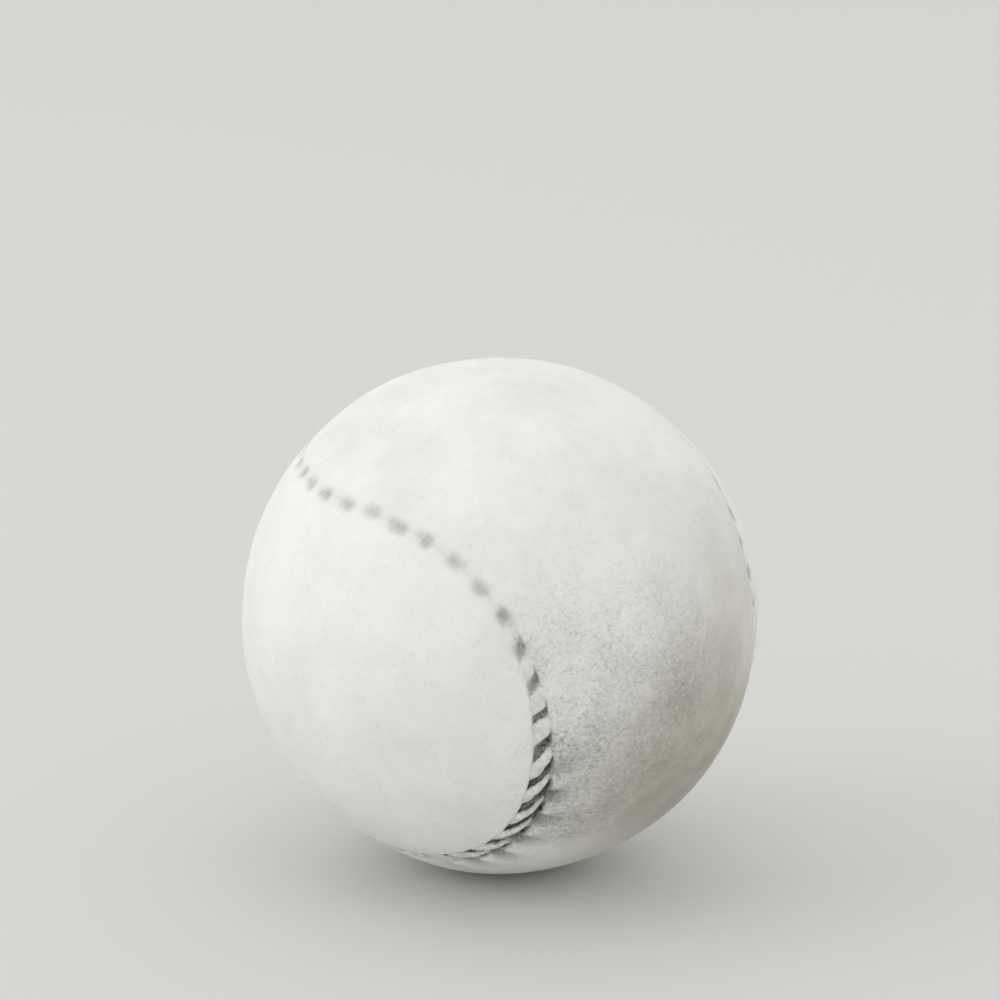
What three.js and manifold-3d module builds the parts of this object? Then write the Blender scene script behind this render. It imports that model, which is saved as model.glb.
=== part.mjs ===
// A fronton ball for hand pelota, as it is made: a turned boxwood core wound with latex strip, wool yarn
// and cotton thread, then covered by two figure-eight goatskin panels that one waxed thread sews edge to
// edge. Millimetres, +Z up, origin at the ball's centre. The viewer of the photograph is on the -Y side.
import * as THREE from "three";
import { mergeGeometries, mergeVertices } from "three/addons/utils/BufferGeometryUtils.js";
import Module from "manifold-3d";

const wasm = await Module();
wasm.setup();

// Sizes of the ball and its layers
const BALL_DIAMETER = 62;
const LEATHER_THICKNESS = 1.6;
const RIM_THICKNESS = 0.8; // the leather is pared on its inner side along the seam
const COTTON_UNDER_SEAM = 1.6; // the cotton winding at its thinnest, below the seam
const LATEX_THICKNESS = 7;
const CORE_DIAMETER = 18;
const LAYER_CLEARANCE = 0.3;
const TUCK_HOLE_DIAMETER = 2; // where a needle drew the end of each winding back inside
const TUCK_HOLE_SIDES = 8;

// Sizes of the seam and its stitches
const WAIST_WIDTH = 37.8; // over the surface, across the narrow middle of a panel
const LOBE_FULLNESS = 0.378; // how far the panel's two lobes swell out from its waist, 0 to 1
const SEAM_GAP = 0.3;
const THREAD_DIAMETER = 1.2;
const THREAD_SIDES = 5;
const THREAD_BEND = 0.45; // corner taken off where a stitch goes down into its hole
const THREAD_CLEARANCE = 0.3;
const TAIL_LENGTH = 0.6; // each end of the thread, left under the cover beside its hole
const STITCH_PITCH = 4.1;
const FIRST_STITCH = -0.9; // place of the first stitch along the seam, from a tip of the left panel
const STITCH_SLANT = 3.4; // how far along the seam a stitch moves as it crosses over
const STITCH_PROUD = 0.3; // crest of a stitch above the ball's surface
const HOLE_INSET = 1.6; // middle of a stitch hole from the seam's middle
const HOLE_MARGIN = 0.3; // level leather left outside the holes
const SEAM_SLOPE_WIDTH = 2; // from the level rim up to the round of the ball

// How the ball lies: turns about its own X, Y and Z, in degrees
const LIE_X = -72.4;
const LIE_Y = -43.7;
const LIE_Z = 48.2;

// Fineness of the faceted surfaces
const SAMPLES_PER_QUARTER = 15; // of the seam
const FACET_WIDTH = 6;
const LEAST_FACET = 1.5;
const LAYER_DETAIL = 3;
const DISTANCE_STEPS = 1440;
const GAP_STEP = 0.5; // spacing of the points on which the thread's gap to itself is measured

const ballRadius = BALL_DIAMETER / 2;
const coreRadius = CORE_DIAMETER / 2;
const threadRadius = THREAD_DIAMETER / 2;
const holeHalf = threadRadius + THREAD_CLEARANCE;
const levelHalf = HOLE_INSET + holeHalf + HOLE_MARGIN;
const slopeEnd = levelHalf + SEAM_SLOPE_WIDTH;
const seamDepth = THREAD_DIAMETER + THREAD_CLEARANCE - STITCH_PROUD;

// The line where the two panels meet: one closed curve, like that of a tennis ball, which starts at a tip
// of the left panel and comes to the tip of a panel again after each quarter of its length.
class SeamLine extends THREE.Curve {
  getPoint(share, target = new THREE.Vector3()) {
    const turn = (share - 1 / 8) * 2 * Math.PI;
    const rise = (1 - LOBE_FULLNESS) / Math.tan(WAIST_WIDTH / BALL_DIAMETER);
    target.x = Math.cos(turn) + LOBE_FULLNESS * Math.cos(3 * turn);
    target.y = Math.sin(turn) - LOBE_FULLNESS * Math.sin(3 * turn);
    target.z = rise * Math.sin(2 * turn);
    return target.setLength(ballRadius);
  }
}

const seam = new SeamLine();
seam.arcLengthDivisions = DISTANCE_STEPS;
const seamLength = seam.getLength();
const seamMarks = seam.getSpacedPoints(DISTANCE_STEPS).map((mark) => mark.normalize());

// The directions out of the ball, along the seam and across it towards the left panel
function seamFrame(along) {
  const share = THREE.MathUtils.euclideanModulo(along / seamLength, 1);
  const out = seam.getPointAt(share).normalize();
  const across = out.clone().cross(seam.getTangentAt(share)).normalize();
  return { out, across };
}

// A point so far along the seam, so far across it and so far from the ball's centre
function besideSeam(along, across, radius) {
  const frame = seamFrame(along);
  const angle = across / ballRadius;
  const point = frame.out.multiplyScalar(Math.cos(angle));
  return point.addScaledVector(frame.across, Math.sin(angle)).multiplyScalar(radius);
}

function distanceToSeam(direction) {
  let nearest = -1;
  for (const mark of seamMarks) {
    nearest = Math.max(nearest, direction.dot(mark));
  }
  return Math.acos(Math.min(nearest, 1)) * ballRadius;
}

// Radii of the surfaces at a distance from the seam. The rim lies level and low under the stitches.
function seamShare(distance) {
  return 1 - THREE.MathUtils.smoothstep(distance, levelHalf, slopeEnd);
}

function leatherOuter(distance) {
  return ballRadius - seamDepth * seamShare(distance);
}

function leatherInner(distance) {
  const thickness = THREE.MathUtils.lerp(LEATHER_THICKNESS, RIM_THICKNESS, seamShare(distance));
  return leatherOuter(distance) - thickness;
}

function cottonOuter(distance) {
  const threadBed = (THREAD_DIAMETER + THREAD_CLEARANCE) * seamShare(distance);
  return leatherInner(distance) - LAYER_CLEARANCE - threadBed;
}

const cottonInnerRadius = cottonOuter(0) - COTTON_UNDER_SEAM;
const woolOuterRadius = cottonInnerRadius - LAYER_CLEARANCE;
const latexInnerRadius = coreRadius + LAYER_CLEARANCE;
const latexOuterRadius = latexInnerRadius + LATEX_THICKNESS;
const woolInnerRadius = latexOuterRadius + LAYER_CLEARANCE;

// One row of points straight across a panel, from edge to edge over the ball
function rowBetween(start, end) {
  const width = start.angleTo(end) * ballRadius;
  const rim = [0, levelHalf, slopeEnd].filter((offset) => offset === 0 || offset + LEAST_FACET < width / 2);
  const last = rim[rim.length - 1];
  const middle = width - 2 * last;
  const steps = Math.ceil(middle / FACET_WIDTH);
  const offsets = [...rim];
  for (let step = 1; step < steps; step++) {
    offsets.push(last + (middle * step) / steps);
  }
  for (const offset of rim.reverse()) {
    offsets.push(width - offset);
  }
  const axis = start.clone().cross(end).normalize();
  const directions = offsets.map((offset) => start.clone().applyAxisAngle(axis, offset / ballRadius));
  return { directions, shares: offsets.map((offset) => offset / width) };
}

// A panel's outline and inside as a sheet of directions, in rows from its first tip to its second.
// The side is 1 for the left panel and -1 for the right one, which starts a quarter of the seam later.
function panelSheet(side, edgeInset) {
  const tip = side > 0 ? 0 : seamLength / 4;
  const count = 2 * SAMPLES_PER_QUARTER;
  const directions = [];
  const faces = [];
  const starts = [];
  const ends = [];
  let previous = null;
  for (let index = 0; index <= count; index++) {
    const reach = (side * seamLength * index) / count / 2;
    const start = besideSeam(tip + reach, side * edgeInset, 1);
    const end = besideSeam(tip - reach, side * edgeInset, 1);
    const isTip = index % count === 0;
    const row = isTip ? { directions: [start], shares: [0] } : rowBetween(start, end);
    row.first = directions.length;
    directions.push(...row.directions);
    starts.push(row.first);
    ends.push(directions.length - 1);
    if (previous) {
      joinRows(previous, row, faces);
    }
    previous = row;
  }
  const rim = [...starts, ...ends.slice(1, -1).reverse()];
  return { directions, faces, rim, distances: directions.map(distanceToSeam) };
}

// Triangles between two rows that may differ in their number of points
function joinRows(lower, upper, faces) {
  let low = 0;
  let high = 0;
  while (low < lower.shares.length - 1 || high < upper.shares.length - 1) {
    const nextLow = lower.shares[low + 1] ?? Infinity;
    const nextHigh = upper.shares[high + 1] ?? Infinity;
    if (nextLow < nextHigh) {
      faces.push(lower.first + low, upper.first + high, lower.first + low + 1);
      low += 1;
    } else {
      faces.push(lower.first + low, upper.first + high, upper.first + high + 1);
      high += 1;
    }
  }
}

function sheetPoints(sheet, radiusAt) {
  const radii = sheet.distances.map(radiusAt);
  return sheet.directions.map((direction, index) => direction.clone().multiplyScalar(radii[index]));
}

function geometryFrom(points, faces) {
  const geometry = new THREE.BufferGeometry().setFromPoints(points);
  geometry.setIndex(faces);
  return geometry;
}

// Cutting and joining of closed bodies
function toSolid(geometry) {
  const bare = geometry.clone();
  bare.deleteAttribute("normal");
  bare.deleteAttribute("uv");
  const merged = mergeVertices(bare);
  const mesh = new wasm.Mesh({
    numProp: 3,
    vertProperties: new Float32Array(merged.attributes.position.array),
    triVerts: new Uint32Array(merged.index.array),
  });
  return new wasm.Manifold(mesh);
}

function toGeometry(solid) {
  const mesh = solid.getMesh();
  const geometry = new THREE.BufferGeometry();
  geometry.setAttribute("position", new THREE.BufferAttribute(mesh.vertProperties, 3));
  geometry.setIndex(new THREE.BufferAttribute(mesh.triVerts, 1));
  geometry.computeVertexNormals();
  return geometry;
}

// The stitch holes of one row, as square awl cuts right through the rim of the leather
function holeCutters(side, firstAlong) {
  const span = overRadius - underRadius;
  const cutters = [];
  for (let stitch = 0; stitch < stitchCount; stitch++) {
    const place = besideSeam(firstAlong + stitch * pitch, side * HOLE_INSET, (overRadius + underRadius) / 2);
    const out = place.clone().normalize();
    const across = seamFrame(firstAlong + stitch * pitch).across;
    const along = out.clone().cross(across).normalize();
    const turn = new THREE.Matrix4().makeBasis(along.clone().cross(out), along, out).setPosition(place);
    cutters.push(new THREE.BoxGeometry(2 * holeHalf, 2 * holeHalf, span).applyMatrix4(turn));
  }
  return toSolid(mergeGeometries(cutters));
}

function coverPanel(side, firstHoleAlong) {
  const sheet = panelSheet(side, SEAM_GAP / 2);
  const count = sheet.directions.length;
  const points = [...sheetPoints(sheet, leatherOuter), ...sheetPoints(sheet, leatherInner)];
  const faces = [...sheet.faces];
  for (let face = 0; face < sheet.faces.length; face += 3) {
    const [first, second, third] = sheet.faces.slice(face, face + 3);
    faces.push(count + first, count + third, count + second);
  }
  sheet.rim.forEach((here, index) => {
    const next = sheet.rim[(index + 1) % sheet.rim.length];
    faces.push(next, here, count + here);
    faces.push(next, count + here, count + next);
  });
  const body = toSolid(geometryFrom(points, faces));
  return toGeometry(body.subtract(holeCutters(side, firstHoleAlong)));
}

// A layer of the ball: a hollow round, with the small radial hole where the end of its strand is tucked
function woundLayer(outerSolid, innerRadius, tuckDirection) {
  const hollow = toSolid(new THREE.IcosahedronGeometry(innerRadius, LAYER_DETAIL));
  const tuckRadius = TUCK_HOLE_DIAMETER / 2;
  const hole = new THREE.CylinderGeometry(tuckRadius, tuckRadius, ballRadius, TUCK_HOLE_SIDES);
  hole.translate(0, innerRadius / 2 + ballRadius / 2, 0);
  const lengthwise = new THREE.Vector3(0, 1, 0);
  hole.applyQuaternion(new THREE.Quaternion().setFromUnitVectors(lengthwise, tuckDirection.normalize()));
  return toGeometry(outerSolid.subtract(hollow).subtract(toSolid(hole)));
}

// Cotton, with the bed that the stitches and the rims of the leather press into it along the seam
function cottonWinding() {
  const left = panelSheet(1, 0);
  const right = panelSheet(-1, 0);
  const faces = [...left.faces, ...right.faces.map((index) => index + left.directions.length)];
  const points = [...sheetPoints(left, cottonOuter), ...sheetPoints(right, cottonOuter)];
  const middleOfLobe = new THREE.Vector3(1, -1, 0);
  return woundLayer(toSolid(geometryFrom(points, faces)), cottonInnerRadius, middleOfLobe);
}

function roundWinding(outerRadius, innerRadius, tuckDirection) {
  const outer = toSolid(new THREE.IcosahedronGeometry(outerRadius, LAYER_DETAIL));
  return woundLayer(outer, innerRadius, tuckDirection);
}

// The stitches: over the seam on a slant, down a hole of the right panel, back below the leather and up
// the next hole of the left panel
const stitchCount = Math.round(seamLength / STITCH_PITCH);
const pitch = seamLength / stitchCount;
const overRadius = ballRadius + STITCH_PROUD - threadRadius;
const underRadius = leatherInner(0) - THREAD_CLEARANCE - threadRadius;

function threadPath() {
  const bendAlong = (STITCH_SLANT * THREAD_BEND) / (2 * HOLE_INSET);
  const path = [besideSeam(FIRST_STITCH, HOLE_INSET - TAIL_LENGTH, underRadius)];
  for (let stitch = 0; stitch < stitchCount; stitch++) {
    const start = FIRST_STITCH + stitch * pitch;
    const end = start + STITCH_SLANT;
    path.push(besideSeam(start, HOLE_INSET, underRadius));
    path.push(besideSeam(start, HOLE_INSET, overRadius - THREAD_BEND));
    path.push(besideSeam(start + bendAlong, HOLE_INSET - THREAD_BEND, overRadius));
    path.push(besideSeam((start + end) / 2, 0, overRadius));
    path.push(besideSeam(end - bendAlong, THREAD_BEND - HOLE_INSET, overRadius));
    path.push(besideSeam(end, -HOLE_INSET, overRadius - THREAD_BEND));
    path.push(besideSeam(end, -HOLE_INSET, underRadius));
  }
  const lastHole = FIRST_STITCH + (stitchCount - 1) * pitch + STITCH_SLANT;
  path.push(besideSeam(lastHole, TAIL_LENGTH - HOLE_INSET, underRadius));
  return path;
}

// A round section drawn along a path of straight stretches, mitred at each bend and closed at both ends
function threadTube(path) {
  const heading = path[1].clone().sub(path[0]).normalize();
  const upright = path[0].clone().cross(heading).normalize();
  const level = heading.clone().cross(upright);
  let ring = [];
  for (let side = 0; side < THREAD_SIDES; side++) {
    const angle = (2 * Math.PI * side) / THREAD_SIDES;
    const point = path[0].clone().addScaledVector(upright, threadRadius * Math.cos(angle));
    ring.push(point.addScaledVector(level, threadRadius * Math.sin(angle)));
  }
  const points = [...ring];
  const faces = [];
  for (let index = 1; index < path.length; index++) {
    const into = path[index].clone().sub(path[index - 1]).normalize();
    const next = path[index + 1];
    const onward = next ? next.clone().sub(path[index]).normalize() : into;
    const mitre = into.clone().add(onward);
    ring = ring.map((point) => {
      const reach = path[index].clone().sub(point).dot(mitre) / into.dot(mitre);
      return point.clone().addScaledVector(into, reach);
    });
    const base = points.length;
    points.push(...ring);
    for (let side = 0; side < THREAD_SIDES; side++) {
      const other = (side + 1) % THREAD_SIDES;
      faces.push(base - THREAD_SIDES + side, base - THREAD_SIDES + other, base + other);
      faces.push(base - THREAD_SIDES + side, base + other, base + side);
    }
  }
  const lastRing = points.length - THREAD_SIDES;
  for (let side = 1; side < THREAD_SIDES - 1; side++) {
    faces.push(0, side + 1, side);
    faces.push(lastRing, lastRing + side, lastRing + side + 1);
  }
  return toGeometry(toSolid(geometryFrom(points, faces)));
}

// Least gap between stretches of the thread that are not neighbours along it
function leastGap(path) {
  const points = [];
  const travelled = [];
  let length = 0;
  for (let index = 1; index < path.length; index++) {
    const stretch = path[index].distanceTo(path[index - 1]);
    const steps = Math.ceil(stretch / GAP_STEP);
    for (let step = 0; step < steps; step++) {
      points.push(path[index - 1].clone().lerp(path[index], step / steps));
      travelled.push(length + (stretch * step) / steps);
    }
    length += stretch;
  }
  points.push(path[path.length - 1]);
  travelled.push(length);
  const neighbour = 3 * THREAD_DIAMETER;
  let least = Infinity;
  for (let index = 0; index < points.length; index++) {
    for (let other = index + 1; other < points.length; other++) {
      if (travelled[other] - travelled[index] > neighbour) {
        least = Math.min(least, points[index].distanceToSquared(points[other]));
      }
    }
  }
  return Math.sqrt(least) - THREAD_DIAMETER;
}

const ball = new THREE.Group();
ball.rotation.set(
  THREE.MathUtils.degToRad(LIE_X),
  THREE.MathUtils.degToRad(LIE_Y),
  THREE.MathUtils.degToRad(LIE_Z),
);

function addPiece(name, geometry, color, roughness) {
  const mesh = new THREE.Mesh(geometry, new THREE.MeshStandardMaterial({ color, roughness, metalness: 0 }));
  mesh.name = name;
  ball.add(mesh);
}

const path = threadPath();
console.log(`seam ${seamLength.toFixed(1)} mm, ${stitchCount} stitches, pitch ${pitch.toFixed(2)} mm`);
console.log(`seam thread: least gap to itself ${leastGap(path).toFixed(2)} mm`);

const core = new THREE.IcosahedronGeometry(coreRadius, LAYER_DETAIL);
const latex = roundWinding(latexOuterRadius, latexInnerRadius, new THREE.Vector3(0, 1, 0));
const wool = roundWinding(woolOuterRadius, woolInnerRadius, new THREE.Vector3(1, 0, 0));
addPiece("boxwood_core", core, 0xd3b268, 0.5);
addPiece("latex_winding", latex, 0xc8a676, 0.6);
addPiece("wool_winding", wool, 0xd8cdb6, 0.95);
addPiece("cotton_winding", cottonWinding(), 0xe8e2d2, 0.9);
addPiece("left_cover_panel", coverPanel(1, FIRST_STITCH), 0xe9e8e2, 0.7);
addPiece("right_cover_panel", coverPanel(-1, FIRST_STITCH + STITCH_SLANT), 0xdedbd2, 0.75);
addPiece("seam_thread", threadTube(path), 0xf0eee6, 0.8);

const part = new THREE.Group();
part.add(ball);

export default part;
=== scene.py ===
import math

import bmesh
import bpy
import numpy as np
from mathutils import Euler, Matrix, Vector, noise
from mathutils.geometry import delaunay_2d_cdt


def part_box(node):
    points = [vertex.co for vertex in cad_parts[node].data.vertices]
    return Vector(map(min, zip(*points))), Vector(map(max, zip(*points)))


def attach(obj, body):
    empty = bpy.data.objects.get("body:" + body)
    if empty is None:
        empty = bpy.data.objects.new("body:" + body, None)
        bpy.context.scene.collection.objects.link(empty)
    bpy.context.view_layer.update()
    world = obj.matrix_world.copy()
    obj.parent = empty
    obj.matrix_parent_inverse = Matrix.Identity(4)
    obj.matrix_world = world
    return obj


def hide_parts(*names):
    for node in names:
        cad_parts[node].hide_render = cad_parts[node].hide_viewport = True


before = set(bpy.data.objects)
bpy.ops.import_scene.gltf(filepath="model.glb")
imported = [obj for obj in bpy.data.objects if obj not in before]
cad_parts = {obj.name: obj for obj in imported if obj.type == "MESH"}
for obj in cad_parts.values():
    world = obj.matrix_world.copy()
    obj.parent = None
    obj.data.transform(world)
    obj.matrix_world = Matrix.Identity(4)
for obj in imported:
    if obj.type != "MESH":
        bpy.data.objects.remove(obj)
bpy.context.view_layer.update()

# The boxwood core: a small ball turned on a lathe from dense, pale yellow boxwood and left bare.
# The tool leaves fine rings round the turning axis and a small pip at each end of it. Nothing fixes
# it: the first strip is simply wound round it under tension.
MM = 0.001
ROOT = "root"
# Sockets of a mix node that hold its two colours and the colour it gives
FIRST_COLOUR = 6
SECOND_COLOUR = 7
MIXED_COLOUR = 2


def linear(hex_colour):
    """An sRGB hex colour as linear RGBA."""
    channels = [int(hex_colour[i:i + 2], 16) / 255 for i in (1, 3, 5)]
    return [c / 12.92 if c <= 0.04045 else ((c + 0.055) / 1.055) ** 2.4 for c in channels] + [1.0]


def add_node(tree, kind, inputs=None, **settings):
    """A new node with its settings, and its inputs set to values or linked to other nodes' outputs."""
    node = tree.nodes.new(kind)
    for name, value in settings.items():
        setattr(node, name, value)
    for socket, value in (inputs or {}).items():
        if isinstance(value, bpy.types.NodeSocket):
            tree.links.new(value, node.inputs[socket])
        else:
            node.inputs[socket].default_value = value
    return node


def new_material(name):
    """An empty node material, with its tree, shader and object coordinates in metres."""
    material = bpy.data.materials.new(name)
    material.use_nodes = True
    tree = material.node_tree
    shader = tree.nodes["Principled BSDF"]
    place = add_node(tree, "ShaderNodeTexCoord").outputs["Object"]
    return material, tree, shader, place


def add_piece(name, points, faces, material, node, attributes=None):
    """A smooth mesh object that rides with the ball and stands for a solid of the frame."""
    mesh = bpy.data.meshes.new(name)
    mesh.from_pydata(np.asarray(points).tolist(), [], [tuple(int(i) for i in face) for face in faces])
    mesh.update()
    mesh.shade_smooth()
    for label, values in (attributes or {}).items():
        layer = mesh.attributes.new(label, "FLOAT", "POINT")
        layer.data.foreach_set("value", np.asarray(values, dtype=np.float32))
    mesh.materials.append(material)
    piece = bpy.data.objects.new(name, mesh)
    bpy.context.scene.collection.objects.link(piece)
    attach(piece, ROOT)
    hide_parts(node)


def node_radius(node):
    """Half of the widest side of a solid's box."""
    low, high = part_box(node)
    return max(high[i] - low[i] for i in range(3)) / 2


core_radius = node_radius("boxwood_core")
CORE_RINGS = 120
CORE_SIDES = 96
CORE_TOOL_MARK = 0.04 * MM
CORE_TOOL_STEP = 0.7 * MM
CORE_PIP = 0.35 * MM
CORE_PIP_WIDTH = 1.2 * MM
tilt = np.linspace(0, math.pi, CORE_RINGS + 1)
tool_wave = np.cos(2 * math.pi * tilt * core_radius / CORE_TOOL_STEP)
pip_reach = np.minimum(tilt, math.pi - tilt) * core_radius / CORE_PIP_WIDTH
turned = core_radius - CORE_TOOL_MARK * (1 + tool_wave) / 2 - CORE_PIP * np.exp(-pip_reach ** 2)
core_points = [(0, 0, turned[0])]
core_faces = []
for ring in range(1, CORE_RINGS):
    level = turned[ring] * math.sin(tilt[ring])
    height = turned[ring] * math.cos(tilt[ring])
    for side in range(CORE_SIDES):
        angle = 2 * math.pi * side / CORE_SIDES
        core_points.append((level * math.cos(angle), level * math.sin(angle), height))
core_points.append((0, 0, -turned[-1]))
for side in range(CORE_SIDES):
    other = (side + 1) % CORE_SIDES
    core_faces.append((0, 1 + side, 1 + other))
    for ring in range(CORE_RINGS - 2):
        here = 1 + ring * CORE_SIDES
        below = here + CORE_SIDES
        core_faces.append((here + side, below + side, below + other, here + other))
    last = 1 + (CORE_RINGS - 2) * CORE_SIDES
    core_faces.append((last + side, len(core_points) - 1, last + other))

# Boxwood, turned: very fine even grain, pale yellow with slightly darker growth rings, a low dry shine.
# Its pores are too fine to show, so they are drawn coarser.
BOXWOOD_RING = 1.1 * MM
BOXWOOD_PORE = 0.15 * MM
BOXWOOD_PORE_DEPTH = 0.03 * MM
BOXWOOD_PALE = "#DCBF78"
BOXWOOD_DARK = "#C9A558"
# The wave pattern runs through this many radians in each unit of length, at a scale of 1
WAVE_RADIANS = 20
boxwood, tree, shader, place = new_material("turned_boxwood")
rings = add_node(tree, "ShaderNodeTexWave",
                 {"Vector": place, "Scale": 2 * math.pi / (WAVE_RADIANS * BOXWOOD_RING),
                  "Distortion": 2.0, "Detail": 3.0}, wave_type="RINGS", rings_direction="X")
pores = add_node(tree, "ShaderNodeTexNoise", {"Vector": place, "Scale": 1 / BOXWOOD_PORE, "Detail": 2.0})
wood = add_node(tree, "ShaderNodeMix",
                {"Factor": rings.outputs["Fac"], FIRST_COLOUR: linear(BOXWOOD_PALE),
                 SECOND_COLOUR: linear(BOXWOOD_DARK)}, data_type="RGBA")
fleck = add_node(tree, "ShaderNodeBump",
                 {"Height": pores.outputs["Fac"], "Strength": 0.3, "Distance": BOXWOOD_PORE_DEPTH})
tree.links.new(wood.outputs[MIXED_COLOUR], shader.inputs["Base Color"])
tree.links.new(fleck.outputs["Normal"], shader.inputs["Normal"])
shader.inputs["Roughness"].default_value = 0.48
shader.inputs["IOR"].default_value = 1.5
add_piece("core", core_points, core_faces, boxwood, "boxwood_core")

# The latex winding: a flat strip of natural latex, stretched and wound round the core in great circles
# that cross each other. It is held by its own stretch, and gives the ball its bounce.
WINDING_FINENESS = 7
LAYER_SKIN = 0.15 * MM
LATEX_TURNS = 30
LATEX_STRIP_WIDTH = 6 * MM
LATEX_STRIP_THICKNESS = 0.9 * MM
# Power of a strand's crown: 2 is round, and a higher one is flatter
FLAT_STRIP = 8


def round_directions(fineness):
    """Evenly spread directions and the triangles between them."""
    grid = bmesh.new()
    bmesh.ops.create_icosphere(grid, subdivisions=fineness, radius=1.0)
    grid.verts.ensure_lookup_table()
    directions = np.array([vertex.co[:] for vertex in grid.verts])
    faces = np.array([[vertex.index for vertex in face.verts] for face in grid.faces])
    grid.free()
    return directions / np.linalg.norm(directions, axis=1)[:, None], faces


def strand_relief(directions, radius, turns, strand_width, strand_height, flatness):
    """Height of the crossing turns over the ball below: each later turn lies on the earlier ones."""
    golden_angle = math.pi * (3 - math.sqrt(5))
    golden_share = (math.sqrt(5) - 1) / 2
    relief = np.zeros(len(directions))
    for turn in range(turns):
        rise = (turn * golden_share) % 1
        level = math.sqrt(1 - rise ** 2)
        heading = golden_angle * turn
        axis = np.array([level * math.cos(heading), level * math.sin(heading), rise])
        across = np.abs(np.arcsin(np.clip(directions @ axis, -1, 1))) * radius / (strand_width / 2)
        crown = np.clip(1 - across ** flatness, 0, 1) ** (1 / flatness)
        relief = np.maximum(relief, np.where(crown > 0, strand_height * (turn / turns + crown) / 2, 0))
    return relief


def winding_shell(directions, faces, outer, inner):
    """Outer and inner surface of a wound layer as points and faces, with the faces pointing out of it."""
    points = np.vstack([directions * outer[:, None], directions * inner])
    return points, np.vstack([faces, faces[:, ::-1] + len(directions)])


winding_directions, winding_faces = round_directions(WINDING_FINENESS)
latex_radius = node_radius("latex_winding")
latex_relief = strand_relief(winding_directions, latex_radius, LATEX_TURNS, LATEX_STRIP_WIDTH,
                             LATEX_STRIP_THICKNESS, FLAT_STRIP)
latex_outer = latex_radius - LATEX_STRIP_THICKNESS + latex_relief
latex_points, latex_faces = winding_shell(winding_directions, winding_faces, latex_outer,
                                          core_radius + LAYER_SKIN)

# Natural latex strip, cut from sheet: translucent tan with a dusty bloom, dull and slightly uneven
LATEX_BLOOM = 2.5 * MM
LATEX_UNEVENNESS = 0.1 * MM
LATEX_TAN = "#B98F5C"
LATEX_DUSTY = "#D6B98D"
latex, tree, shader, place = new_material("natural_latex_strip")
bloom = add_node(tree, "ShaderNodeTexNoise", {"Vector": place, "Scale": 1 / LATEX_BLOOM, "Detail": 4.0})
tan = add_node(tree, "ShaderNodeMix",
               {"Factor": bloom.outputs["Fac"], FIRST_COLOUR: linear(LATEX_TAN),
                SECOND_COLOUR: linear(LATEX_DUSTY)}, data_type="RGBA")
dust = add_node(tree, "ShaderNodeBump",
                {"Height": bloom.outputs["Fac"], "Strength": 0.2, "Distance": LATEX_UNEVENNESS})
tree.links.new(tan.outputs[MIXED_COLOUR], shader.inputs["Base Color"])
tree.links.new(dust.outputs["Normal"], shader.inputs["Normal"])
shader.inputs["Roughness"].default_value = 0.62
shader.inputs["IOR"].default_value = 1.52
shader.inputs["Subsurface Weight"].default_value = 0.1
add_piece("latex_turns", latex_points, latex_faces, latex, "latex_winding")

# The wool winding: undyed wool yarn wound tight over the latex in crossing turns until the ball is near
# its size. It is most of the ball's bulk, and its last end is drawn under with a needle.
WOOL_TURNS = 90
WOOL_YARN_WIDTH = 1.9 * MM
WOOL_YARN_HEIGHT = 1.3 * MM
ROUND_STRAND = 2
wool_radius = node_radius("wool_winding")
wool_relief = strand_relief(winding_directions, wool_radius, WOOL_TURNS, WOOL_YARN_WIDTH,
                            WOOL_YARN_HEIGHT, ROUND_STRAND)
wool_outer = wool_radius - WOOL_YARN_HEIGHT + wool_relief
wool_points, wool_faces = winding_shell(winding_directions, winding_faces, wool_outer,
                                        latex_radius + LAYER_SKIN)

# Wool yarn, spun and undyed: cream, matt and hairy, with painted shade in the hollows between its fibres.
# Single fibres are too fine to show, so they are drawn coarser.
WOOL_FIBRE = 0.25 * MM
WOOL_HAIR_DEPTH = 0.1 * MM
WOOL_HOLLOW_SHADE = "#B7AA8C"
WOOL_CREAM = "#EDE4CE"
wool, tree, shader, place = new_material("undyed_wool_yarn")
fibre = add_node(tree, "ShaderNodeTexNoise",
                 {"Vector": place, "Scale": 1 / WOOL_FIBRE, "Detail": 5.0, "Distortion": 1.5})
cream = add_node(tree, "ShaderNodeMix",
                 {"Factor": fibre.outputs["Fac"], FIRST_COLOUR: linear(WOOL_HOLLOW_SHADE),
                  SECOND_COLOUR: linear(WOOL_CREAM)}, data_type="RGBA")
hairs = add_node(tree, "ShaderNodeBump",
                 {"Height": fibre.outputs["Fac"], "Strength": 0.8, "Distance": WOOL_HAIR_DEPTH})
tree.links.new(cream.outputs[MIXED_COLOUR], shader.inputs["Base Color"])
tree.links.new(hairs.outputs["Normal"], shader.inputs["Normal"])
shader.inputs["Roughness"].default_value = 0.95
shader.inputs["IOR"].default_value = 1.55
shader.inputs["Sheen Weight"].default_value = 0.4
add_piece("wool_turns", wool_points, wool_faces, wool, "wool_winding")

# The cotton winding: fine cotton thread wound evenly over the wool, which makes the firm round that the
# leather is stretched on. The stitches and the rims of the leather press a bed into it along the seam.
BALL_RADIUS = 31 * MM
WAIST_WIDTH = 37.8 * MM
LOBE_FULLNESS = 0.378
# Share of the way round at which the seam begins
SEAM_START = -1 / 8
# How the ball lies, as turns in degrees
LIE_ANGLES = (-72.4, -43.7, 48.2)
LIE = np.array(Euler([math.radians(angle) for angle in LIE_ANGLES], "ZYX").to_matrix())
STITCHES = 75
STEPS_PER_STITCH = 20
CURVE_STEPS = 14400
PLACES_AT_ONCE = 10000
COTTON_TURNS = 140
COTTON_STRAND_WIDTH = 1.3 * MM
COTTON_STRAND_HEIGHT = 0.6 * MM
SEAM_BED_DEPTH = 1.6 * MM
SEAM_BED_HALF = 2.6 * MM
SEAM_BED_END = 5 * MM


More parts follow.
